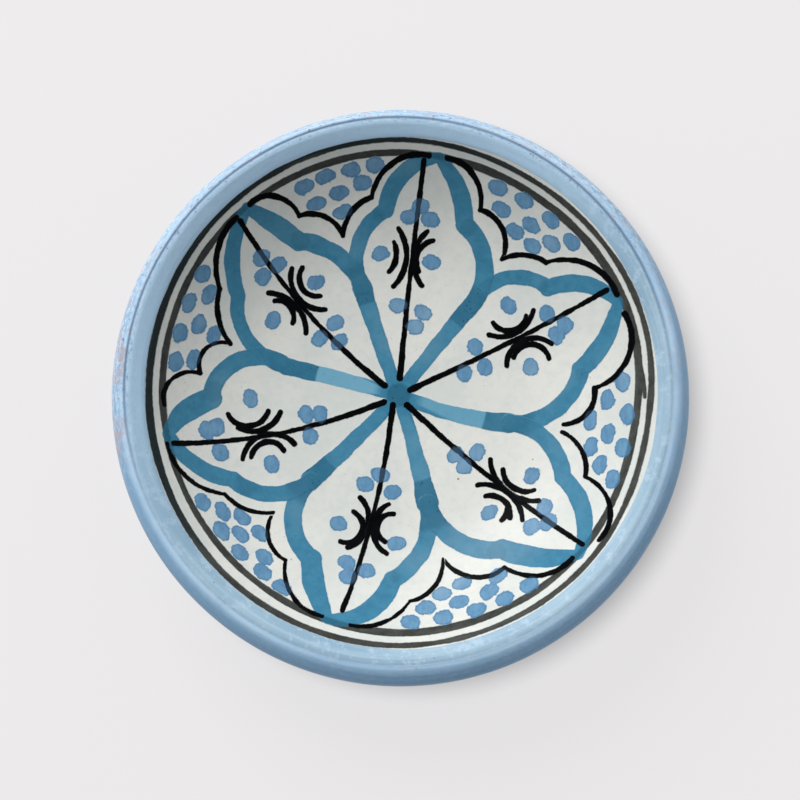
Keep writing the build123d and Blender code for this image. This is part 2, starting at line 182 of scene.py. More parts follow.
def lip_row(phi, lift, ways):
    """A ring on the lip, phi degrees up from its outermost point."""
    bend = LIP_RADIUS + lift
    radius = LIP_CENTRE[0] + bend * math.cos(math.radians(phi))
    height = LIP_CENTRE[1] + bend * math.sin(math.radians(phi))
    return ring_row(CAVITY * (1 - lip_share(phi)), radius, height, ways)


def outside_row(slope, lift, ways):
    """A ring on the outside wall, where the wall rises at this slope."""
    bend = OUTSIDE_RADIUS + lift
    angle = np.radians(np.asarray(slope, float) - 90)
    radius = OUTSIDE_CENTRE[0] + bend * np.cos(angle)
    height = OUTSIDE_CENTRE[1] + bend * np.sin(angle)
    return ring_row((0, 0), radius, height, ways)


# ---- material helpers -----------------------------------------------------------------------------
def linear(*rgb):
    """Display values from 0 to 255 as scene values, with alpha."""
    parts = [v / 255 for v in rgb]
    return (*[v / 12.92 if v <= 0.04045 else ((v + 0.055) / 1.055) ** 2.4 for v in parts], 1.0)


class Look:
    """One procedural material. Each method adds a node and returns its output."""

    def __init__(self, name, roughness, specular=0.17):
        self.material = bpy.data.materials.new(name)
        self.material.use_nodes = True
        self.tree = self.material.node_tree
        self.shader = self.tree.nodes["Principled BSDF"]
        self.shader.inputs["Roughness"].default_value = roughness
        self.shader.inputs["IOR"].default_value = 1.5
        self.shader.inputs["Specular IOR Level"].default_value = specular
        self.place = self.tree.nodes.new("ShaderNodeTexCoord").outputs["Object"]

    def feed(self, node, key, value):
        if isinstance(value, bpy.types.NodeSocket):
            self.tree.links.new(value, node.inputs[key])
        else:
            node.inputs[key].default_value = value

    def attribute(self, name, output="Fac"):
        node = self.tree.nodes.new("ShaderNodeAttribute")
        node.attribute_name = name
        return node.outputs[output]

    def noise(self, scale, detail=3.0, rough=0.5, vector=None, stretch=None):
        vector = vector or self.place
        if stretch:
            node = self.tree.nodes.new("ShaderNodeMapping")
            self.feed(node, "Vector", vector)
            node.inputs["Scale"].default_value = stretch
            vector = node.outputs["Vector"]
        node = self.tree.nodes.new("ShaderNodeTexNoise")
        self.feed(node, "Vector", vector)
        self.feed(node, "Scale", scale)
        self.feed(node, "Detail", detail)
        self.feed(node, "Roughness", rough)
        return node.outputs["Fac"]

    def cells(self, scale):
        node = self.tree.nodes.new("ShaderNodeTexVoronoi")
        self.feed(node, "Vector", self.place)
        self.feed(node, "Scale", scale)
        return node.outputs["Distance"]

    def step(self, value, low, high, to_low=0.0, to_high=1.0):
        node = self.tree.nodes.new("ShaderNodeMapRange")
        node.interpolation_type = "SMOOTHSTEP"
        self.feed(node, "Value", value)
        for key, number in (("From Min", low), ("From Max", high), ("To Min", to_low), ("To Max", to_high)):
            self.feed(node, key, number)
        return node.outputs["Result"]

    def math(self, kind, a, b):
        node = self.tree.nodes.new("ShaderNodeMath")
        node.operation = kind
        self.feed(node, 0, a)
        self.feed(node, 1, b)
        return node.outputs[0]

    def times(self, a, b):
        return self.math("MULTIPLY", a, b)

    def plus(self, a, b):
        return self.math("ADD", a, b)

    def specks(self, scale, size, patches, reach, detail=2):
        """Small round spots, only where a broader noise is high."""
        spots = self.step(self.cells(scale), *size, 1, 0)
        return self.times(spots, self.step(self.noise(patches, detail), *reach))

    def mix(self, share, a, b):
        node = self.tree.nodes.new("ShaderNodeMix")
        node.data_type = "RGBA"
        self.feed(node, 0, share)
        self.feed(node, 6, a)
        self.feed(node, 7, b)
        return node.outputs[2]

    def colour(self, value):
        self.feed(self.shader, "Base Color", value)

    def roughness(self, value):
        self.feed(self.shader, "Roughness", value)

    def bump(self, height, distance, strength):
        node = self.tree.nodes.new("ShaderNodeBump")
        self.feed(node, "Height", height)
        node.inputs["Strength"].default_value = strength
        node.inputs["Distance"].default_value = distance
        self.tree.links.new(node.outputs["Normal"], self.shader.inputs["Normal"])


WHITE = linear(226, 228, 222)
BLUE_BLACK = (0.0, 0.02, 0.035, 1)
GLAZE_ROUGHNESS = (0.22, 0.38)


def white_colour(look):
    """The opaque white glaze: faint cool mottling, cream where thin, a few iron specks."""
    cloud = look.noise(38, 4, 0.55)
    fine = look.noise(420, 3, 0.6)
    base = look.mix(look.step(cloud, 0.35, 0.68), linear(219, 223, 219), linear(232, 232, 226))
    base = look.mix(look.step(fine, 0.4, 0.75, 0, 0.35), base, linear(206, 213, 212))
    dust = look.specks(520, (0.07, 0.12), 75, (0.60, 0.66))
    base = look.mix(look.times(dust, 0.45), base, linear(120, 112, 100))
    rare = look.specks(190, (0.055, 0.075), 31, (0.63, 0.66), 1)
    return look.mix(look.times(rare, 0.8), base, linear(112, 62, 48))


def glaze_surface(look):
    """A gloss that varies a little, over a gentle swell with pinholes."""
    look.roughness(look.step(look.noise(150, 4, 0.6), 0.3, 0.75, *GLAZE_ROUGHNESS))
    swell = look.noise(95, 3, 0.5)
    pits = look.step(look.cells(900), 0.04, 0.16)
    look.bump(look.plus(swell, look.times(pits, 0.12)), 0.00022, 0.45)


def make_white():
    look = Look("white_glaze_look", 0.2)
    look.colour(white_colour(look))
    glaze_surface(look)
    return look.material


def make_clay():
    """Bare red clay with grit, turning marks and a soiled foot."""
    look = Look("red_clay_look", 0.85)
    grain = look.noise(900, 5, 0.7)
    patch = look.noise(60, 3, 0.5)
    base = look.mix(look.step(patch, 0.35, 0.65), linear(176, 110, 82), linear(198, 134, 104))
    base = look.mix(look.step(grain, 0.5, 0.72, 0, 0.55), base, linear(150, 88, 66))
    grit = look.specks(700, (0.09, 0.14), 220, (0.52, 0.6))
    base = look.mix(grit, base, linear(222, 196, 168))
    base = look.mix(look.attribute("stain"), base, linear(120, 92, 80))
    look.colour(base)
    look.roughness(look.step(grain, 0.3, 0.7, 0.75, 0.95))
    rings = look.noise(1.0, 2, 0.5, look.attribute("lay", "Vector"), (6.0, 6.0, 900.0))
    look.bump(look.plus(look.times(grain, 0.5), look.times(rings, 0.5)), 0.0004, 0.6)
    return look.material


def make_blue():
    """Light blue glaze: streaks along the lip, darker wash inside, worn and pitted on the edge. It also
    carries painted shade on the lip's lower side and outside, painted light on its upper side and painted
    shade in its groove.
    """
    look = Look("blue_glaze_look", 0.3)
    lay = look.attribute("lay", "Vector")
    streak = look.noise(1.0, 4, 0.6, lay, (14.0, 14.0, 520.0))
    broad = look.noise(1.0, 3, 0.5, lay, (22.0, 22.0, 130.0))
    cloud = look.noise(55, 4, 0.6)
    lip = look.mix(look.step(broad, 0.3, 0.7), linear(164, 204, 238), linear(194, 225, 250))
    band = look.mix(look.step(broad, 0.3, 0.7), linear(149, 181, 203), linear(165, 194, 213))
    base = look.mix(look.attribute("inband"), lip, band)
    base = look.mix(look.step(streak, 0.46, 0.72, 0, 0.6), base, linear(186, 213, 232))
    base = look.mix(look.step(streak, 0.28, 0.46, 0.5, 0), base, linear(120, 157, 191))
    base = look.mix(look.step(cloud, 0.5, 0.75, 0, 0.35), base, linear(138, 173, 203))
    patchy = look.step(look.noise(210, 6, 0.72), 0.5, 0.62, 0, 0.6)
    base = look.mix(patchy, base, linear(190, 215, 235))
    # Darker wash: inside the band it is a brush wash; on the lip's outer and lower side it is painted
    # shade, where the lip turns away from the light.
    base = look.mix(look.times(look.attribute("wash"), look.step(broad, 0.2, 0.7, 0.75, 1.0)), base,
                    linear(120, 160, 194))
    # Lighter on the lip's upper side: painted light, where the lamp falls.
    base = look.mix(look.attribute("pale"), base, linear(192, 226, 254))
    # Light flecks where the lip is rough, laid thickest on its lit upper side: partly chipped glaze, partly
    # painted highlight.
    fleck_and_highlight = look.step(look.noise(1.0, 4, 0.7, lay, (480.0, 480.0, 1200.0)), 0.48, 0.58)
    base = look.mix(look.times(fleck_and_highlight, look.attribute("rough")), base, linear(204, 226, 244))
    pit = look.step(look.noise(1.0, 3, 0.65, lay, (640.0, 640.0, 1300.0)), 0.58, 0.66)
    base = look.mix(look.times(pit, look.times(look.attribute("rough"), 0.8)), base,
                    linear(92, 122, 158))
    rub = look.times(look.attribute("worn"), look.step(look.noise(260, 5, 0.7), 0.47, 0.6))
    base = look.mix(look.times(rub, 0.75), base, linear(190, 172, 176))
    specks = look.specks(300, (0.05, 0.08), 40, (0.56, 0.6), 1)
    base = look.mix(look.times(specks, 0.7), base, linear(70, 88, 112))
    # A dark line along the groove: painted shade in the crease, fading on the lower side.
    base = look.mix(look.times(look.attribute("groove"), look.step(streak, 0.25, 0.6, 0.45, 1.0)), base,
                    linear(92, 120, 156))
    base = look.mix(look.attribute("thin"), base, linear(178, 160, 150))
    look.colour(base)
    look.roughness(look.step(look.noise(1.0, 4, 0.6, lay, (60.0, 60.0, 400.0)), 0.3, 0.75, 0.26, 0.5))
    height = look.plus(look.times(streak, 0.7), look.times(look.noise(700, 3, 0.6), 0.35))
    look.bump(height, 0.0004, 0.7)
    return look.material


def paint_look(name, light, dark, faded, rim=(-0.13, 0.17), depth=0.35, gloss=0.17, streaks=None,
               fringe=0.0, pooled=0.0, airy=0.0):
    """Brush paint melted into the glaze. The attributes say how far a point is inside the mark
    (edge, in millimetres), what is beneath (under), and how dense (dens), pale (pale) and veiled
    (veil) the paint is."""
    look = Look(name, 0.2, gloss)
    edge = look.attribute("edge")
    ragged = look.times(look.math("SUBTRACT", look.noise(900, 3, 0.6), 0.5), 0.28)
    edge = look.plus(edge, ragged)
    inside_mark = look.step(edge, *rim)
    flow = look.noise(330, 5, 0.65, None, streaks)
    body = look.mix(look.step(flow, 0.25, 0.8, 0.1, 0.9), light, dark)
    body = look.mix(look.step(look.noise(1500, 2, 0.6), 0.55, 0.75, 0, 0.25), body, light)
    if airy:
        thin = look.step(look.noise(48, 2), 0.5, 0.72, 0, 0.5)
        body = look.mix(thin, body, look.mix(airy, light, WHITE))
    if pooled:
        pool = look.times(look.step(edge, 0.0, 0.25), look.step(edge, 0.25, 0.75, 1, 0))
        body = look.mix(look.times(pool, pooled), body, dark)
    body = look.mix(look.attribute("dens"), body, look.mix(depth, dark, BLUE_BLACK))
    body = look.mix(look.attribute("pale"), body, faded)
    grit = look.specks(560, (0.13, 0.20), 110, (0.46, 0.56))
    grit = look.times(grit, look.plus(look.times(look.attribute("dens"), 1.3), 0.25))
    body = look.mix(grit, body, look.mix(0.5, dark, (0.0, 0.01, 0.02, 1)))
    body = look.mix(look.attribute("veil"), body, linear(84, 112, 140))
    ground = look.attribute("under", "Color")
    blank = look.math("SUBTRACT", 1.0, look.attribute("under", "Alpha"))
    ground = look.mix(blank, ground, white_colour(look))
    if fringe:
        ground = look.mix(look.step(edge, -0.42, -0.05, 0, fringe), ground, light)
    look.colour(look.mix(inside_mark, ground, body))
    glaze_surface(look)
    return look.material


CLAY_LOOK, WHITE_LOOK, BLUE_LOOK = make_clay(), make_white(), make_blue()
LOOKS = {
    "turquoise_paint": paint_look(
        "turquoise_look", linear(70, 139, 171), linear(54, 119, 151), linear(124, 180, 206),
        depth=0.37, fringe=0.16, pooled=0.3, airy=0.1),
    "dot_paint": paint_look(
        "dab_look", linear(116, 162, 195), linear(82, 129, 168), WHITE,
        streaks=(1.6, 0.6, 1), fringe=0.16, pooled=0.75, airy=0.18),
    "black_paint": paint_look(
        "black_line_look", linear(12, 13, 15), linear(3, 4, 5), linear(40, 42, 46),
        rim=(-0.10, 0.14), gloss=0.02),
    "grey_paint": paint_look(
        "grey_line_look", linear(78, 80, 77), linear(50, 52, 49), linear(112, 114, 110),
        rim=(-0.16, 0.2), pooled=0.15, gloss=0.06),
}
SLOTS = {row["node"]: row["material_slot"] for row in frame["record"]["subparts"]}


def finish_piece(obj, node, material):
    obj.data.materials.append(material)
    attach(obj, "root")
    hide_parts(node)
    return obj


# ---- clay body and the two glazes -----------------------------------------------------------------
def lay_of(rows, ways):
    """A coordinate that runs along the rings: a circle in x and y, and the section's length in z."""
    length, layers = 0.0, []
    for i, row in enumerate(rows):
        if i and len(row) > 1 and len(rows[i - 1]) > 1:
            length += float(np.linalg.norm(row[0] - rows[i - 1][0]))
        if len(row) == 1:
            layers.append(np.array([[0.0, 0.0, length * MM]]))
        else:
            layers.append(np.column_stack([ways * 0.08, np.full(len(ways), length * MM)]))
    return np.vstack(layers)


CLAY_TURNS, WHITE_TURNS, BLUE_TURNS = 300, 360, 480      # steps round the dish
RECESS_SHARES = (0.15, 0.3, 0.45, 0.6, 0.75, 0.88, 0.96)  # rings of the recess under the floor
FOOT_PROFILE = [(37.6, 3.0), (37.95, 2.4), (38.25, 1.5), (38.5, 0.9), (38.7, 0.42), (39.05, 0.12),
                (39.5, 0.0), (41.0, 0.0), (43.0, 0.0), (44.5, 0.0), (44.95, 0.12), (45.3, 0.42),
                (45.5, 0.9), (45.6, 1.8), (45.75, 3.0), (45.9, 4.2), (46.1, 5.1), (46.45, 5.75),
                (47.0, 6.2)]
CAVITY_RINGS = (82.0, 80.0, 77.0, 73.0, 68.0, 62.0, 55.0, 47.0, 38.0, 28.0, 18.0, 8.0)


def make_clay_body():
    ways = directions(CLAY_TURNS)[1]
    wave = ripple([(40 * c, 40 * s) for c, s in ways], 14, 5)
    rows = [np.array([[0, 0, RECESS_DEPTH + RECESS_RISE]])]
    inner = FOOT_INNER_RADIUS - FOOT_EASE
    for share in RECESS_SHARES:
        height = RECESS_DEPTH + RECESS_RISE * (1 - share ** 2) + 0.05 * math.sin(share * 40)
        rows.append(ring_row((0, 0), inner * share, height, ways))
    for radius, height in FOOT_PROFILE:
        chip = 0.1 * np.abs(wave) if 0 < height < 2.5 else 0.0
        rows.append(ring_row((0, 0), radius - chip, height, ways))
    for slope in np.linspace(FOOT_TOP_SLOPE + 0.6, UNDER_LIP_SLOPE, 34):
        rows.append(outside_row(slope, 0.03 * math.sin(slope * 3.1), ways))
    for phi in np.linspace(UNDER_LIP_SLOPE - 80, FLARE_SLOPE + 90, 14):
        rows.append(lip_row(phi, 0, ways))
    for radius in CAVITY_RINGS:
        rows.append(ring_row(CAVITY, radius, inside(radius, 0.0), ways))
    rows.append(np.array([[*CAVITY, float(inside(0.0, 0.0))]]))
    points, faces = loft(rows)
    stain = 0.55 * smooth(points[:, 2], 1.2, 0.0) * smooth(np.hypot(points[:, 0], points[:, 1]), 36, 39)
    obj = add_mesh("clay_body_turned", points, faces, {"lay": lay_of(rows, ways), "stain": stain})
    return finish_piece(obj, "clay_body", CLAY_LOOK)


def make_white_glaze():
    ways = directions(WHITE_TURNS)[1]
    reach = BLUE_EDGE_RADIUS + 2.2
    rows = [np.array([[*CAVITY, float(inside(0.0, COAT))]])]
    for radius in np.linspace(0, reach, 104)[1:]:
        rows.append(ring_row(CAVITY, radius, inside(radius, COAT), ways))
    for radius in np.linspace(reach, 0, 26)[:-1]:
        rows.append(ring_row(CAVITY, radius, inside(radius, TUCK), ways))
    rows.append(np.array([[*CAVITY, float(inside(0.0, TUCK))]]))
    points, faces = loft(rows)
    return finish_piece(add_mesh("white_glaze_coat", points, faces), "white_glaze", WHITE_LOOK)


def degrees_apart(angle, centre):
    """How far angles in radians are from a direction in degrees, from 0 to 180."""
    return np.abs((np.degrees(angle) - centre + 180) % 360 - 180)


BLUE_SEAM = (-0.55, -0.35, -0.2, -0.05, 0.1, 0.3, 0.55, 0.85, 1.2, 1.6)   # rows past its inner edge, in mm
# The lip's rows, in degrees up from its outermost point: closest about the groove.
LIP_ROWS = [118, 114, 110, 106, 102, *np.arange(99.5, 80.4, -1.0), 78, 75, 72, 68, 64, 59, 54, 48, 42,
            36, 30, 23, 16, 8, 0, -8, -16, -24, -32, -40, -46]
DRIP_ROWS = ((1.6, 0.42), (1.1, 0.46), (0.7, 0.44), (0.4, 0.36), (0.15, 0.2), (0.0, 0.02), (0.1, TUCK))
BLUE_LIFT = 0.08            # how much thicker the blue glaze is than the white
GROOVE_AT, GROOVE_HALF, GROOVE_DEPTH = 90, 6.0, 0.22
# Among these marks are painted shade on the lip's lower side and in its groove, and painted light on its
# upper side.
BLUE_MARKS = ("wash", "pale", "rough", "inband", "worn", "groove", "thin")


def make_blue_glaze():
    angle, ways = directions(BLUE_TURNS)
    near = [(30 * c, 30 * s) for c, s in ways]
    none = np.zeros(BLUE_TURNS)
    rows, layers = [], {key: [] for key in BLUE_MARKS}

    def about(middle, none_at, full_at):
        return smooth(degrees_apart(angle, middle), none_at, full_at)

    def add(row, **marks):
        rows.append(row)
        for key, layer in layers.items():
            layer.append(np.broadcast_to(marks.get(key, none), (BLUE_TURNS,)).astype(float))

    crisp = 1 - 0.85 * about(285, 110, 72)          # the groove fades at the lower side
    wash_in = about(150, 78, 58)
    # Painted light: the lip is made lighter on its upper side, where the lamp falls.
    lit_side = 1.4 * about(118, 100, 50)
    # Rough lip, thickest on the lit upper side, where its light flecks act as a painted highlight.
    rough_and_lit_at = about(110, 95, 60)
    worn_at = about(178, 22, 6) + 0.35 * about(90, 120, 60)
    # Painted shade: the lip is made darker on its lower side, which is turned away from the lamp.
    shaded_side = np.maximum(about(265, 100, 60), 0.9 * about(185, 45, 15))
    second_at = about(125, 75, 45)                  # a second, fainter groove line, painted shade only
    wobble = 0.22 * ripple(near, 9, 1) + 0.1 * ripple(near, 3, 2)
    swell = 0.05 * ripple([(60 * c, 60 * s) for c, s in ways], 17, 3)
    for reach in BLUE_SEAM:
        radius = BLUE_EDGE_RADIUS + wobble * smooth(reach, 1.6, 0.6) + reach
        plan = BLUE_EDGE_CENTRE + ways * radius[:, None]
        from_axis = np.hypot(*(plan - CAVITY).T)
        lift = COAT - 0.035 + 0.115 * float(smooth(reach, -0.45, 0.75))
        row = np.column_stack([plan, inside(from_axis, lift)])
        seam = float(smooth(reach, 0.5, -0.3))
        add(row, inband=none + 1, wash=0.15 * wash_in, pale=0.6 * lit_side * (1 - seam),
            thin=0.12 * seam + none)
    top = COAT + BLUE_LIFT
    line_at = GROOVE_AT + 0.9 * ripple(near, 11, 6)
    for phi in LIP_ROWS:
        dip = np.exp(-((phi - line_at) / GROOVE_HALF) ** 2) * crisp
        ridge = 0.03 * math.sin(phi * 0.37) * (phi < 84) + 0.015 * math.sin(phi * 0.9) * (phi < 60)
        inner = float(smooth(phi, 84, 92))
        coarse = (1 - 0.9 * float(smooth(phi, 97, 112))) * (0.15 + 0.85 * float(smooth(phi, -25, 35)))
        # Painted shade on the lip's outer side, deepest on its lower side.
        outer_wash = (0.9 * shaded_side * float(smooth(phi, 84, 52))
                      + 0.85 * (1 - shaded_side) * float(smooth(phi, 74, 45)))
        add(lip_row(phi, top + swell + ridge - GROOVE_DEPTH * dip, ways),
            inband=none + inner,
            wash=0.15 * wash_in * inner + outer_wash,
            pale=lit_side * (0.12 + 0.33 * float(smooth(phi, 70, 92))),
            rough=(0.9 * rough_and_lit_at + 0.07) * coarse,
            worn=worn_at * float(smooth(abs(phi - 45), 60, 20)),
            groove=np.exp(-((phi - line_at) / 6.5) ** 2) * crisp * 0.85
            + 0.3 * second_at * math.exp(-((phi - 66) / 5.0) ** 2))
    for i, slope in enumerate(np.linspace(UNDER_LIP_SLOPE, COAT_EDGE_SLOPE + 2.2, 42)):
        ring = 0.07 * math.sin(slope * 4.2) + 0.05 * math.sin(slope * 7.7 + 1.3)
        add(outside_row(slope, top + swell + ring, ways), rough=none + 0.1,
            wash=(0.85 + 0.05 * shaded_side) * float(smooth(i, 30, 0)),
            worn=0.25 * float(smooth(i, 8, 0)) + none)
    edge = COAT_EDGE_SLOPE + 0.9 * ripple(near, 7, 8) + 0.35 * ripple(near, 2.5, 9)
    for back, lift in DRIP_ROWS:
        add(outside_row(edge + back, lift, ways), thin=none + float(smooth(back, 1.2, 0.0)) * 0.55)
    for slope in np.linspace(COAT_EDGE_SLOPE + 3, UNDER_LIP_SLOPE, 10):
        add(outside_row(slope, TUCK, ways))
    for phi in np.linspace(-42, 118, 14):
        add(lip_row(phi, TUCK, ways))
    for radius in (82.6, 81.4):
        add(ring_row(CAVITY, radius, inside(radius, TUCK), ways))
    points, faces = loft(rows, ring=True)
    marks = {key: np.concatenate(layer) for key, layer in layers.items()}
    obj = add_mesh("blue_glaze_coat", points, faces, {"lay": lay_of(rows, ways), **marks})
    return finish_piece(obj, "blue_rim_glaze", BLUE_LOOK)


# ---- brush marks ------------------------------------------------------------------------------------
class Mark:
    """The plan outline of a painted CAD node, about the cavity's axis, in millimetres."""

    def __init__(self, node):
        mesh = frame["nodes"][node].data
        points = np.array([v.co for v in mesh.vertices]) / MM
        keys, index = np.unique(np.round(points, 3), axis=0, return_inverse=True)
        index = index.ravel()
        plan = keys[:, :2] - CAVITY
        mesh.calc_loop_triangles()
        tops = []
        for tri in mesh.loop_triangles:
            if tri.normal.z > 0.2:
                corners = [int(index[i]) for i in tri.vertices]
                if len(set(corners)) == 3:
                    tops.append(corners)
        used = {}
        for corners in tops:
            for a, b in zip(corners, corners[1:] + corners[:1]):
                key = (min(a, b), max(a, b))
                used[key] = used.get(key, 0) + 1
        samples = []
        for (a, b), times in used.items():
            if times == 1:
                count = max(2, int(np.linalg.norm(plan[a] - plan[b]) / 0.06))
                samples += [plan[a] + (plan[b] - plan[a]) * t for t in np.arange(count) / count]
        self.samples = np.array(samples)
        self.tree = KDTree(len(samples))
        for i, p in enumerate(samples):
            self.tree.insert((p[0], p[1], 0), i)
        self.tree.balance()
        self.shape = BVHTree.FromPolygons([(p[0], p[1], 0) for p in plan], tops)
        self.low, self.high = self.samples.min(0), self.samples.max(0)

    def depth(self, plan):
        """How far each place is inside the mark; negative is outside."""
        out = np.full(len(plan), -9.0)
        near = ((plan > self.low - 1) & (plan < self.high + 1)).all(1)
        for i in np.nonzero(near)[0]:
            x, y = plan[i]
            distance = self.tree.find((x, y, 0))[2]
            hit = self.shape.ray_cast((x, y, 1), (0, 0, -1))[0]
            out[i] = distance if hit else -distance
        return out


MARKS = {node: Mark(node) for node in SLOTS if SLOTS[node].endswith("_paint")}
SPREAD = 0.45               # how far a film reaches past its mark, under the glaze's surface
FILM = 0.045                # how high a film stands
SUNK = 0.03                 # how deep its hidden border lies in the glaze
FILM_BACK = 0.12            # how deep its underside lies in the glaze
FILM_GRID = 0.25
RING_TURNS = 1100
BORDER = 1.0                # empty grid about a mark
SURE_EDGE = 1.6             # a mark's edge wavers only this near to it


def film_height(depth):
    return -SUNK + (FILM + SUNK) * smooth(depth, -SPREAD, 0.35)


# How much a brush edge wavers, slowly and finely: height and scale of each, in mm.
UNEVEN = {"turquoise_paint": (0.22, 4.5, 0.06, 1.1), "dot_paint": (0.34, 2.8, 0.19, 0.75),
          "black_paint": (0.16, 3.0, 0.06, 0.8), "grey_paint": (0.14, 9.0, 0.05, 1.4)}
RIPPLE_GAIN = 1.6
# How much wider than in the CAD the brush spread its paint, and where it pressed less.
FULLER = {"turquoise_paint": 0.2, "dot_paint": 0.12, "black_paint": 0.13, "grey_paint": 0.14}
LIGHTER_HAND = {"petal_4_outline": 0.17, "petal_5_outline": 0.21, "petal_6_outline": 0.1}
# The side of the dish where a banded line is densest: its middle in degrees, and how dense.
DENSE_SIDE = {"outer_ring_line": (140, 0.96), "inner_ring_line": (130, 0.21)}


def hand_drawn(depth, plan, node):
    """The depth inside a mark with the unsteady edge of a brush, which pressed a little wider."""
    slot, seed = SLOTS[node], SEEDS[node]
    wide, wide_scale, fine, fine_scale = UNEVEN[slot]
    depth = depth + FULLER[slot] - LIGHTER_HAND.get(node, 0.0)
    near = np.abs(depth) < SURE_EDGE
    shift = np.zeros(len(depth))
    slow, quick = ripple(plan[near], wide_scale, seed), ripple(plan[near], fine_scale, seed + 40)
    shift[near] = RIPPLE_GAIN * (wide * slow + fine * quick)
    return depth + shift


def plan_grid(mark, slot):
    """Places about the mark, the grid's size, and if it closes: polar for a banded line, else square."""
    if slot == "grey_paint":
        radii = np.hypot(*mark.samples.T)
        steps = np.arange(radii.min() - BORDER, radii.max() + BORDER, FILM_GRID)
        ways = directions(RING_TURNS)[1]
        plan = (steps[:, None, None] * ways[None]).reshape(-1, 2)
        return plan, len(steps), RING_TURNS, True
    x = np.arange(mark.low[0] - BORDER, mark.high[0] + BORDER, FILM_GRID)
    y = np.arange(mark.low[1] - BORDER, mark.high[1] + BORDER, FILM_GRID)
    plan = np.stack(np.meshgrid(x, y, indexing="ij"), -1).reshape(-1, 2)
    return plan, len(x), len(y), False


# Overlaps of two strokes of one band, darker: petal, radius and degrees of the middle, size in mm.
OVERLAPS = [(1, 58.5, 6.0, 2.4), (1, 57.8, 36.5, 2.0), (2, 57.6, 67.2, 3.0), (2, 57.5, 96.2, 2.2),
            (3, 58.2, 122.6, 3.4), (4, 59.0, 179.4, 3.6), (4, 56.6, 211.0, 4.2), (5, 58.2, 269.0, 2.2),
            (6, 59.2, 301.6, 3.4)]
# Where the bands' strokes start on the star's, darker: degrees, from and to in mm, and how much.
MERGED = [(51.0, 29.5, 41.0, 0.55), (108.7, 31.0, 42.5, 0.5), (165.8, 27.0, 41.5, 0.4),
          (224.3, 31.0, 45.0, 0.5), (284.8, 28.4, 43.0, 0.56), (345.6, 28.5, 42.0, 0.42)]
# Strokes of the star that were drawn with less paint: degrees, how far out, and how pale.
PALE_STEMS = [(165.8, 27.0, 0.85), (345.6, 28.5, 0.6), (284.8, 28.0, 0.15), (51.0, 29.5, 0.05),
              (108.7, 31.0, 0.06), (224.3, 31.0, 0.07)]


def under_marks(node):
    """The marks that this one is painted over."""
    rings = ["outer_ring_line", "inner_ring_line"]
    if node in rings or node == "centre_star":
        return []
    words = node.split("_")
    number = int(words[1])
    before = (number + 4) % 6 + 1
    after = number % 6 + 1
    if node.endswith("dots"):
        return rings[1:]
    if node.endswith("band"):
        below = [rings[1], "centre_star"]
        return below + ([f"petal_{before}_band", f"petal_{after}_band"] if number % 2 == 0 else [])
    own = [f"petal_{number}_band", f"petal_{number}_dots"]
    if node.endswith("outline"):
        return rings + own + [f"gap_{before}_dots", f"gap_{number}_dots"]
    if node.endswith("sprig"):
        return own
    return [rings[1], "centre_star"] + own + [f"petal_{number}_sprig", f"petal_{number}_outline"]


# What a lower mark looks like through the soft edge of the one above it.
GROUND = {"turquoise_paint": linear(60, 126, 158), "dot_paint": linear(104, 146, 186),
          "grey_paint": linear(62, 62, 59), "black_paint": linear(16, 17, 19)}
SEEDS = {node: i + 1 for i, node in enumerate(MARKS)}


def edge_counts(quads):
    """Every edge of the quads, how many quads use it, and which edge each side of a quad is."""
    sides = np.stack([quads, np.roll(quads, -1, 1)], -1).reshape(-1, 2)
    edges, index, times = np.unique(np.sort(sides, 1), axis=0, return_inverse=True, return_counts=True)
    return edges, times, index.reshape(-1, 4)


def rim_of(edges, times, count):
    rim = np.zeros(count, bool)
    rim[edges[times == 1].ravel()] = True
    return rim


def without_slivers(quads, count):
    """Drops quads where the sheet is too narrow for a top and an underside that share its rim."""
    while True:
        edges, times, sides = edge_counts(quads)
        rim = rim_of(edges, times, count)
        pinched = np.bincount(edges[times == 1].ravel(), minlength=count) > 2
        narrow = (times == 2) & rim[edges].all(1)
        bad = rim[quads].all(1) | narrow[sides].any(1) | pinched[quads].any(1)
        if not bad.any():
            return quads
        quads = quads[~bad]


def film_sheet(node):
    """The places of a film's grid, how deep each is in the mark, and the quads between them."""
    mark = MARKS[node]
    plan, rows, columns, closed = plan_grid(mark, SLOTS[node])
    depth = hand_drawn(mark.depth(plan), plan, node)
    keep = depth > -SPREAD
    grid = np.arange(rows * columns).reshape(rows, columns)
    if closed:
        grid = np.hstack([grid, grid[:, :1]])
    quads = np.stack([grid[:-1, :-1], grid[1:, :-1], grid[1:, 1:], grid[:-1, 1:]], -1).reshape(-1, 4)
    quads = without_slivers(quads[keep[quads].all(1)], rows * columns)
    used, quads = np.unique(quads, return_inverse=True)
    return plan[used], depth[used], quads.reshape(-1, 4)


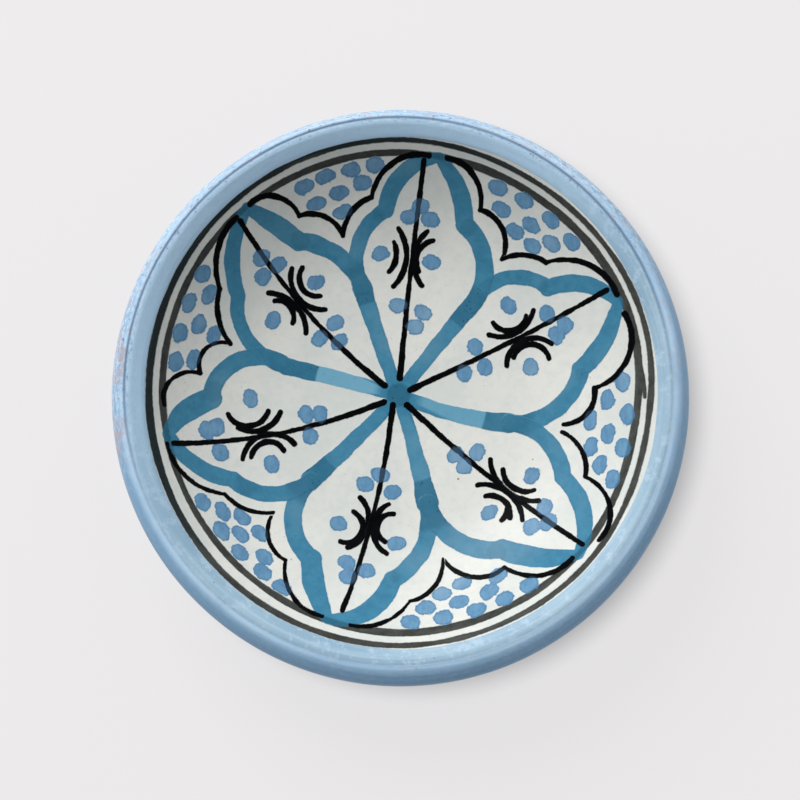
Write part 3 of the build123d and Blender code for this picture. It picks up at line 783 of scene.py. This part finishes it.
def film_layers(node, plan):
    """How high the marks beneath stand, and the attributes that they and the brush give the film."""
    slot = SLOTS[node]
    base = np.zeros(len(plan))
    under = np.tile(np.array([*WHITE[:3], 0.0]), (len(plan), 1))
    dens, veil, pale = np.zeros(len(plan)), np.zeros(len(plan)), np.zeros(len(plan))
    for lower in under_marks(node):
        low_slot = SLOTS[lower]
        low_depth = MARKS[lower].depth(plan)
        if low_depth.max() < -SPREAD:
            continue
        low_depth = hand_drawn(low_depth, plan, lower)
        base = base + np.maximum(film_height(low_depth), 0) * (low_depth > -SPREAD)
        share = smooth(low_depth, -0.13, 0.17)[:, None]
        under = under * (1 - share) + np.array([*GROUND[low_slot][:3], 1.0]) * share
        share = smooth(low_depth, -0.1, 0.5)
        if slot == "turquoise_paint" and lower != "centre_star":
            dens = np.maximum(dens, share * (0.22 if low_slot == "turquoise_paint" else 0.9))
        if slot == "dot_paint":
            dens = np.maximum(dens, share * 0.8)
        if slot == "black_paint" and low_slot == "dot_paint":
            veil = np.maximum(veil, share * (0.42 if node.endswith("vein") else 0.2))
    away = np.hypot(*plan.T)
    turn = np.arctan2(plan[:, 1], plan[:, 0])
    if node == "centre_star":
        for degrees, reach, strength in PALE_STEMS:
            stem = smooth(degrees_apart(turn, degrees), 14, 9) * smooth(away, reach + 0.5, reach - 0.3)
            pale = np.maximum(pale, strength * stem * smooth(away, 5.0, 9.0))
        dens = np.maximum(dens, 0.7 * smooth(away, 4.4, 3.2))
    if slot == "turquoise_paint":
        for degrees, start, end, strength in MERGED:
            along = smooth(away, start - 0.25, start + 0.25) * smooth(away, end + 3, end)
            dens = np.maximum(dens, strength * along * (degrees_apart(turn, degrees) < 17))
        for petal, radius, degrees, size in OVERLAPS:
            if node == f"petal_{petal}_band":
                spot = np.array(from_centre((0, 0), radius, degrees))
                dens = np.maximum(dens, 0.26 * smooth(np.hypot(*(plan - spot).T), size, size - 0.7))
    if slot == "black_paint":
        pale = 0.08 * smooth(ripple(plan, 5.0, SEEDS[node] + 80), 0.2, 0.6)
    if slot == "grey_paint":
        around = np.column_stack([20 * np.cos(turn), 20 * np.sin(turn), away * 3])
        pale = 0.18 * smooth(ripple(around, 4.0, SEEDS[node] + 90), 0.0, 0.6)
        middle, strength = DENSE_SIDE[node]
        dens = np.maximum(dens, strength * smooth(degrees_apart(turn, middle), 100, 60))
    return base, {"dens": dens, "veil": veil, "pale": pale, "under": under}


def make_film(node):
    """A closed film: its top swells out of the glaze, and its underside is hidden in it."""
    plan, depth, quads = film_sheet(node)
    base, layers = film_layers(node, plan)
    away = np.hypot(*plan.T)
    top = np.column_stack([plan + CAVITY, inside(away, COAT + base + film_height(depth))])
    below = top.copy()
    below[:, 2] = inside(away, COAT - FILM_BACK)
    edges, times, _ = edge_counts(quads)
    rim = rim_of(edges, times, len(plan))
    lower_index = np.where(rim, np.arange(len(plan)), 0)
    inner = np.nonzero(~rim)[0]
    lower_index[inner] = len(plan) + np.arange(len(inner))
    points = np.vstack([top, below[inner]])
    faces = np.vstack([quads, lower_index[quads][:, ::-1]]).tolist()
    values = {key: np.concatenate([v, v[inner]]) for key, v in {"edge": depth, **layers}.items()}
    obj = add_mesh(node + "_brushed", points, faces, values)
    return finish_piece(obj, node, LOOKS[SLOTS[node]])


# ---- floor, light and camera -------------------------------------------------------------------------
FLOOR_GLOW = 0.87           # the floor glows evenly, so the lamp's real shadow on it is faint
# Painted shadow of the dish: the floor's glow is dimmed beneath the dish and round its rim, about a centre
# offset from the dish's axis.
SHADOW_CENTRE = (0.0058, -0.0016, 0)
SHADOW_INNER, SHADOW_OUTER = (0.046, 0.075), (0.082, 0.097)     # its two soft edges, in metres
SHADOW_GLOWS = (0.12, 0.42)     # shares of the floor's glow beneath the dish and round it


def make_stage():
    mesh = bpy.data.meshes.new("floor")
    mesh.from_pydata([(x, y, -0.0001) for x, y in ((-3, -3), (3, -3), (3, 3), (-3, 3))], [], [(0, 1, 2, 3)])
    floor = bpy.data.objects.new("floor", mesh)
    bpy.context.scene.collection.objects.link(floor)
    look = Look("floor_look", 0.9)
    look.colour(look.mix(look.noise(3.0, 2), linear(96, 95, 95), linear(98, 97, 97)))
    look.shader.inputs["Specular IOR Level"].default_value = 0.0
    look.shader.inputs["Emission Color"].default_value = linear(237, 235, 236)
    far = look.tree.nodes.new("ShaderNodeVectorMath")
    far.operation = "DISTANCE"
    look.feed(far, 0, look.place)
    far.inputs[1].default_value = SHADOW_CENTRE
    # The dish's shadow is painted into the floor by dimming its glow.
    beneath, beside = (share * FLOOR_GLOW for share in SHADOW_GLOWS)
    shade = look.step(far.outputs["Value"], *SHADOW_INNER, beneath, beside)
    glow = look.step(far.outputs["Value"], *SHADOW_OUTER, shade, FLOOR_GLOW)
    look.feed(look.shader, "Emission Strength", glow)
    mesh.materials.append(look.material)


def add_light(name, place, size, power, colour=(1, 1, 1)):
    light = bpy.data.lights.new(name, "AREA")
    light.shape = "DISK"
    light.size = size
    light.energy = power
    light.color = colour
    obj = bpy.data.objects.new(name, light)
    bpy.context.scene.collection.objects.link(obj)
    obj.location = place
    obj.rotation_euler = (Vector((0, 0, 0)) - Vector(place)).to_track_quat("-Z", "Y").to_euler()


WORLD_SIDES = (0.32, 0.78)   # brightness of the near and the far side of the room
WORLD_OVERHEAD = 0.25       # the dark camera side, as a share
WORLD_SLANT = 0.35          # how far the bright side is turned towards -X
KEY_PLACE, KEY_SIZE, KEY_POWER = (-0.55, 0.88, 0.85), 0.9, 14.0
LENS, REACH = 138.9, 0.9665     # focal length in mm, and the camera's distance in metres
TILT = math.radians(3.2)
SHIFT = (-0.5 / 800, -3.2 / 800)


def make_camera():
    world = bpy.data.worlds.new("studio")
    world.use_nodes = True
    nodes, links = world.node_tree.nodes, world.node_tree.links
    way = nodes.new("ShaderNodeTexCoord").outputs["Generated"]
    parts = nodes.new("ShaderNodeSeparateXYZ")
    links.new(way, parts.inputs[0])

    def ramp(value, low, high, to_low, to_high):
        node = nodes.new("ShaderNodeMapRange")
        node.interpolation_type = "SMOOTHSTEP"
        links.new(value, node.inputs["Value"])
        for key, number in (("From Min", low), ("From Max", high), ("To Min", to_low), ("To Max", to_high)):
            node.inputs[key].default_value = number
        return node.outputs["Result"]

    def combine(kind, first, second):
        node = nodes.new("ShaderNodeMath")
        node.operation = kind
        links.new(first, node.inputs[0])
        links.new(second, node.inputs[1])
        return node.outputs[0]

    slant = nodes.new("ShaderNodeMath")
    slant.operation = "MULTIPLY"
    slant.inputs[1].default_value = WORLD_SLANT
    links.new(parts.outputs["X"], slant.inputs[0])
    side = ramp(combine("SUBTRACT", parts.outputs["Y"], slant.outputs[0]), -0.9, 0.9, *WORLD_SIDES)
    overhead = ramp(parts.outputs["Z"], 0.78, 0.97, 1.0, WORLD_OVERHEAD)
    back = nodes["Background"]
    back.inputs["Color"].default_value = (0.98, 0.99, 1.0, 1)
    links.new(combine("MULTIPLY", side, overhead), back.inputs["Strength"])
    bpy.context.scene.world = world
    add_light("key", KEY_PLACE, KEY_SIZE, KEY_POWER, (1.0, 0.99, 0.98))
    data = bpy.data.cameras.new("camera")
    camera = bpy.data.objects.new("camera", data)
    bpy.context.scene.collection.objects.link(camera)
    target = Vector((0, 0, LIP_CENTRE[1] * MM))
    camera.location = target + Vector((0, -math.sin(TILT), math.cos(TILT))) * REACH
    camera.rotation_euler = (TILT, 0, 0)
    data.lens = LENS
    data.sensor_width = 36
    data.shift_x, data.shift_y = SHIFT
    data.clip_start = 0.01
    bpy.context.scene.camera = camera
    bpy.context.scene.view_settings.view_transform = "Standard"


make_camera()
make_stage()
make_clay_body()
make_white_glaze()
make_blue_glaze()
for painted in MARKS:
    make_film(painted)
